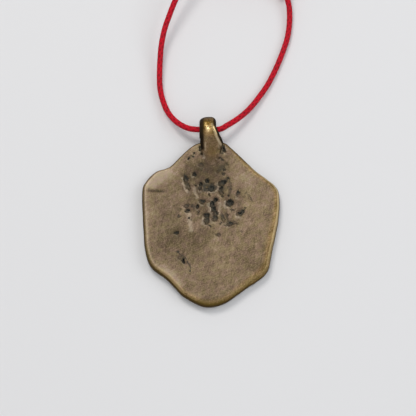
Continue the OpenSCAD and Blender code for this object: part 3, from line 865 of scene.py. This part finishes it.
def makeBail():
    look = castBail
    cell = look["cell"]
    toLeft, toRight, over = look["room"]
    low = np.array((bailLow[0] - toLeft, *look["foot"]))
    high = bailHigh + (toRight, over, over)
    steps = np.ceil((high - low) / cell).astype(int)
    axes = [low[k] + cell * np.arange(steps[k] + 1) for k in range(3)]
    x, y, z = np.meshgrid(*axes, indexing="ij")
    bail = bailField(x, y, z)
    plate = plateField(x, y, z)
    leftSoft, rightSoft, footSoft, mostSoft = look["blends"]
    fromX, fromY, over = look["blendFrom"]
    across = smooth((x - fromX) / over)
    blend = leftSoft * (1 - across) + rightSoft * across
    blend = np.minimum(mostSoft, blend + footSoft * smooth((fromY - y) / over))
    field = softMin(bail, plate, blend) + look["hide"]
    field = np.maximum(field, -(plate + 3 * look["hide"]))
    field = np.maximum(field, bail - look["skirt"])
    points, faces = skinOf(field, low, cell)
    piece = meshPiece("bail_casting", points, faces)
    mesh = piece.data
    normal = np.zeros(len(points) * 3, np.float32)
    mesh.vertices.foreach_get("normal", normal)
    normal = normal.reshape(-1, 3)
    x, y, z = points.T
    px, py = seenAt(x, y, z)
    height, dark, bright, tone = backOf(x, y)
    near = fade(z - height, 0, look["near"])

    def risen(name, value):
        start, over, most = look["rises"][name]
        return most * smooth((value - start) / over)

    # painted shade on the left flank, less on the crown, fading towards the foot
    left = risen("left", -normal[:, 0]) * risen("leftFoot", z)
    left = left * (look["leftMost"] - risen("leftCrown", z)) * fade(py, *look["leftEnd"])
    # painted shade on the flank beyond the right edge
    lipX, lipY = np.array(look["rightGlint"]).T
    beyond = risen("beyond", px - np.interp(py, lipY, lipX)) * fade(py, *look["rightEnd"])
    right = np.maximum(risen("right", normal[:, 0]), beyond)
    # painted shade in the eye, on the back and underneath
    eye = risen("eye", look["eyeR"] - np.hypot(y - eyeY, z - eyeZ))
    back, under = risen("back", normal[:, 1]), risen("under", -normal[:, 2])
    # the plate's own marks near the foot, with all of the painted shade
    sootAndShade = np.maximum.reduce([dark * near, left, right, back, eye, under])
    # painted highlights on the faces turned up, and the painted reflection along the right edge
    lipsAndGlints = wearAndGlintLines(px, py, look["lipsAndGlints"]) * risen("up", normal[:, 2])
    rightGlint = look["rightGlintBright"] * fade(lineDistance(px, py, look["rightGlint"]), *look["rightFade"])
    addMarks(mesh, {
        "sootAndShade": sootAndShade,
        "wearAndGlint": np.maximum.reduce([bright * near, lipsAndGlints, rightGlint]) * (1 - sootAndShade),
        "tone": tone * near + toneOf(px, py, look["tonesAndPaintedLight"]),
        "gilt": np.maximum(risen("gilt", z), look["legGilt"] * (1 - near)),
    })
    return piece


bail = makeBail()
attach(bail, "pendant")
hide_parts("bail")
print("loop cast with", len(bail.data.vertices), "points")


# Finishes: a tree is built from small steps, and each step gives the socket that it ends in
def newFinish(name):
    material = bpy.data.materials.new(name)
    material.use_nodes = True
    tree = material.node_tree
    return material, tree, tree.nodes["Principled BSDF"]


def plug(tree, value, socket):
    if isinstance(value, bpy.types.NodeSocket):
        tree.links.new(value, socket)
    elif socket.type == "RGBA":
        socket.default_value = (*value, 1)
    else:
        socket.default_value = value


def step(tree, kind, output, settings, inputs):
    # one node with its settings, and a number, a colour or another socket for each of its inputs
    node = tree.nodes.new("ShaderNode" + kind)
    for key, value in settings.items():
        setattr(node, key, value)
    for key, value in inputs.items():
        plug(tree, value, node.inputs[key])
    return node.outputs[output]


def mark(tree, name):
    return step(tree, "Attribute", "Fac", {"attribute_name": name}, {})


def noise(tree, width, stretch, turn, detail, rough):
    # lumps of so many mm, stretched along an axis that is turned by so many degrees about Z
    where = {"Scale": (stretch, 1, 1), "Rotation": (0, 0, math.radians(turn))}
    where["Vector"] = step(tree, "TexCoord", "Object", {}, {})
    inputs = {"Scale": 1 / (width * mm), "Detail": detail, "Roughness": rough}
    inputs["Vector"] = step(tree, "Mapping", "Vector", {"vector_type": "TEXTURE"}, where)
    return step(tree, "TexNoise", "Fac", {}, inputs)


def combine(tree, kind, a, b):
    return step(tree, "Math", 0, {"operation": kind}, {0: a, 1: b})


def weighted(tree, kind, total, value, weight):
    return combine(tree, kind, total, combine(tree, "MULTIPLY", value, weight))


def ranged(tree, value, low, high, toLow=0.0, toHigh=1.0):
    inputs = {"Value": value, "From Min": low, "From Max": high, "To Min": toLow, "To Max": toHigh}
    return step(tree, "MapRange", "Result", {"interpolation_type": "SMOOTHSTEP"}, inputs)


def blendColor(tree, share, a, b, kind="MIX"):
    return step(tree, "Mix", 2, {"data_type": "RGBA", "blend_type": kind}, {0: share, 6: a, 7: b})


def bump(tree, height, before, depth, strength):
    inputs = {"Height": height, "Distance": depth * mm, "Strength": strength}
    if before:
        inputs["Normal"] = before
    return step(tree, "Bump", "Normal", {}, inputs)


agedBronze = {
    "umber": (0.05, 0.034, 0.018), "brown": (0.092, 0.064, 0.036),
    "tan": (0.203, 0.146, 0.089), "pale": (0.3, 0.235, 0.165),
    "giltDark": (0.138, 0.082, 0.01), "gilt": (0.37, 0.244, 0.095),
    # colours of wear and of painted highlight
    "wearAndGlint": (0.56, 0.47, 0.35), "wearAndGlintGilt": (0.71, 0.545, 0.285),
    # colours of soot and patina, also used for painted shade
    "sootAndShade": (0.01, 0.01, 0.008), "sootAndShadeGrey": (0.062, 0.062, 0.05),
    # colours of painted shade on the flanks of the loop
    "flankShade": (0.009, 0.006, 0.003), "flankShadeBrown": (0.05, 0.034, 0.014),
    # colour of dark marks on gold, mostly painted shade on golden edges
    "edgeShadeBrown": (0.034, 0.019, 0.005),
    "violet": (1.03, 0.98, 1.07), "olive": (0.975, 1.01, 0.9),
    "roughness": 0.41, "metallic": 0.82,
    # noise as for the cord, with its weight in the tone
    "grain": {
        "mottle": (2.6, 1, 0, 5, 0.62, 0.8), "speckle": (0.5, 1, 0, 3, 0.65, 0.55),
        "fine": (0.22, 1, 0, 2, 0.6, 0.9), "streak": (0.22, 8, 76, 2, 0.5, 0.55),
        "dash": (0.24, 6, 26, 2, 0.5, 0.55),
    },
    "drift": (1.4, 1, 50, 3, 0.6),  # between violet and olive
    "driftRange": 0.24,
    "toneWeight": 0.42,
    "bumps": {"speckle": (0.08, 0.8), "dash": (0.035, 0.7), "fine": (0.03, 0.8)},  # mm and strength
    # levels of the tone between which each colour comes in over the darker ones
    "levels": {"brown": (0.85, 1.35), "tan": (1.28, 1.81), "pale": (1.66, 2.2)},
    "goldLevels": (1.35, 1.95),
    "sootAndShadeGrain": 0.24,
    "sootAndShadeDeep": (0.45, 0.95),  # how much of the soot and painted shade is thin, and how much is deep
    "sootAndShadeCover": (0.04, 0.72),  # how much shows at all, and how much hides the bronze
    "roughBy": (0.16, 0.3, 0.1),  # rougher by its speckle and by soot and painted shade, and smoother by wear and painted highlight
    # how much smoother it is on gold, how strong its bumps are, how much of it is violet, and the colours
    # of its dark marks of soot, patina and painted shade: where deep, where thin, and on gold
    "plate": (0.05, 1.0, 0.38, "sootAndShade", "sootAndShadeGrey", "edgeShadeBrown"),
    "loop": (0.14, 0.6, 0.48, "flankShade", "flankShadeBrown", "edgeShadeBrown"),
}


def bronzeFinish(name, polish, rugged, violet, dark, darkThin, darkGold):
    look = agedBronze
    material, tree, shader = newFinish(name)
    gilt, wearAndGlint = mark(tree, "gilt"), mark(tree, "wearAndGlint")
    level = combine(tree, "MULTIPLY", mark(tree, "tone"), look["toneWeight"])
    grains = {}
    for key, (*kind, weight) in look["grain"].items():
        grains[key] = noise(tree, *kind)
        level = weighted(tree, "ADD", level, grains[key], weight)
    color = look["umber"]
    for key, levels in look["levels"].items():
        color = blendColor(tree, ranged(tree, level, *levels), color, look[key])
    golden = blendColor(tree, ranged(tree, level, *look["goldLevels"]), look["giltDark"], look["gilt"])
    color = blendColor(tree, gilt, color, golden)
    hue = ranged(tree, noise(tree, *look["drift"]), violet, violet + look["driftRange"])
    tint = blendColor(tree, hue, look["violet"], look["olive"])
    color = blendColor(tree, 1.0, color, tint, "MULTIPLY")
    # bright marks of wear and painted highlight
    color = blendColor(tree, wearAndGlint, color, blendColor(tree, gilt, look["wearAndGlint"], look["wearAndGlintGilt"]))
    # dark marks of soot and patina with painted shade
    sootAndShade = weighted(tree, "ADD", mark(tree, "sootAndShade"), grains["fine"], look["sootAndShadeGrain"])
    sootAndShade = combine(tree, "SUBTRACT", sootAndShade, look["sootAndShadeGrain"] / 2)
    sootAndShadeColor = blendColor(tree, ranged(tree, sootAndShade, *look["sootAndShadeDeep"]), look[darkThin], look[dark])
    sootAndShadeColor = blendColor(tree, gilt, sootAndShadeColor, look[darkGold])
    sootAndShade = ranged(tree, sootAndShade, *look["sootAndShadeCover"])
    plug(tree, blendColor(tree, sootAndShade, color, sootAndShadeColor), shader.inputs["Base Color"])
    shader.inputs["Metallic"].default_value = look["metallic"]
    bySpeckle, bySoot, byWear = look["roughBy"]
    rough = weighted(tree, "ADD", look["roughness"], grains["speckle"], bySpeckle)
    rough = weighted(tree, "SUBTRACT", rough, gilt, polish)
    rough = weighted(tree, "ADD", rough, sootAndShade, bySoot)
    rough = weighted(tree, "SUBTRACT", rough, wearAndGlint, byWear)
    plug(tree, rough, shader.inputs["Roughness"])
    normal = None
    for key, (depth, strength) in look["bumps"].items():
        normal = bump(tree, grains[key], normal, depth, strength * rugged)
    plug(tree, normal, shader.inputs["Normal"])
    return material


def cordFinish(name):
    material, tree, shader = newFinish(name)
    fibre = noise(tree, *waxedCord["fibre"])
    wax = noise(tree, *waxedCord["wax"])
    level = weighted(tree, "ADD", fibre, wax, waxedCord["waxWeight"])
    # painted shade between the strands
    level = weighted(tree, "SUBTRACT", level, mark(tree, "lay"), waxedCord["layShade"])
    share = ranged(tree, level, *waxedCord["colorRange"])
    color = blendColor(tree, share, waxedCord["shade"], waxedCord["color"])
    plug(tree, color, shader.inputs["Base Color"])
    plug(tree, ranged(tree, wax, *waxedCord["waxRange"]), shader.inputs["Roughness"])
    shader.inputs["Specular IOR Level"].default_value = waxedCord["specular"]
    shader.inputs["Sheen Weight"].default_value = waxedCord["sheen"]
    shader.inputs["Sheen Roughness"].default_value = waxedCord["sheenRoughness"]
    plug(tree, bump(tree, fibre, None, *waxedCord["bump"]), shader.inputs["Normal"])
    return material


plate.data.materials.append(bronzeFinish("agedBronze", *agedBronze["plate"]))
bail.data.materials.append(bronzeFinish("bailBronze", *agedBronze["loop"]))
redCord = cordFinish("redCord")
for piece in (leftCord, rightCord, cordKnot):
    piece.data.materials.append(redCord)
print("finishes made")

# The room: a plain pale floor, a soft key from the upper left and a broad fill
studio = {
    "floorSide": 3000,
    "floorColor": (0.73, 0.73, 0.74),
    "floorRoughness": 0.9,
    "worldColor": (0.8, 0.82, 0.85),
    "worldLevel": 0.5,
    # where each lamp stands in mm, the side of its square, its power in watts and its colour
    "lamps": {
        "key": ((-170, 360, 550), 260, 1.8, (1.0, 0.97, 0.93)),
        "fill": ((430, 60, 380), 320, 0.8, (0.95, 0.97, 1.0)),
        "over": ((-20, -150, 620), 180, 0.6, (1.0, 0.99, 0.96)),
        "front": ((-40, -430, 380), 300, 0.22, (1.0, 0.99, 0.96)),
    },
}


def makeRoom():
    half = studio["floorSide"] / 2
    corners = [(-half, -half, 0), (half, -half, 0), (half, half, 0), (-half, half, 0)]
    floor = meshPiece("floor", corners, [(0, 1, 2, 3)])
    material, tree, shader = newFinish("paleFloor")
    shader.inputs["Base Color"].default_value = (*studio["floorColor"], 1)
    shader.inputs["Roughness"].default_value = studio["floorRoughness"]
    floor.data.materials.append(material)
    world = bpy.data.worlds.new("room")
    world.use_nodes = True
    backdrop = world.node_tree.nodes["Background"]
    backdrop.inputs["Color"].default_value = (*studio["worldColor"], 1)
    backdrop.inputs["Strength"].default_value = studio["worldLevel"]
    scene.world = world
    for name, (at, side, watts, color) in studio["lamps"].items():
        lamp = bpy.data.lights.new(name, "AREA")
        lamp.size = side * mm
        lamp.energy = watts
        lamp.color = color
        aim(bpy.data.objects.new(name, lamp), Vector(at) * mm, -(Vector(at) * mm))


makeRoom()
scene.view_settings.view_transform = "Standard"
print("room lit")
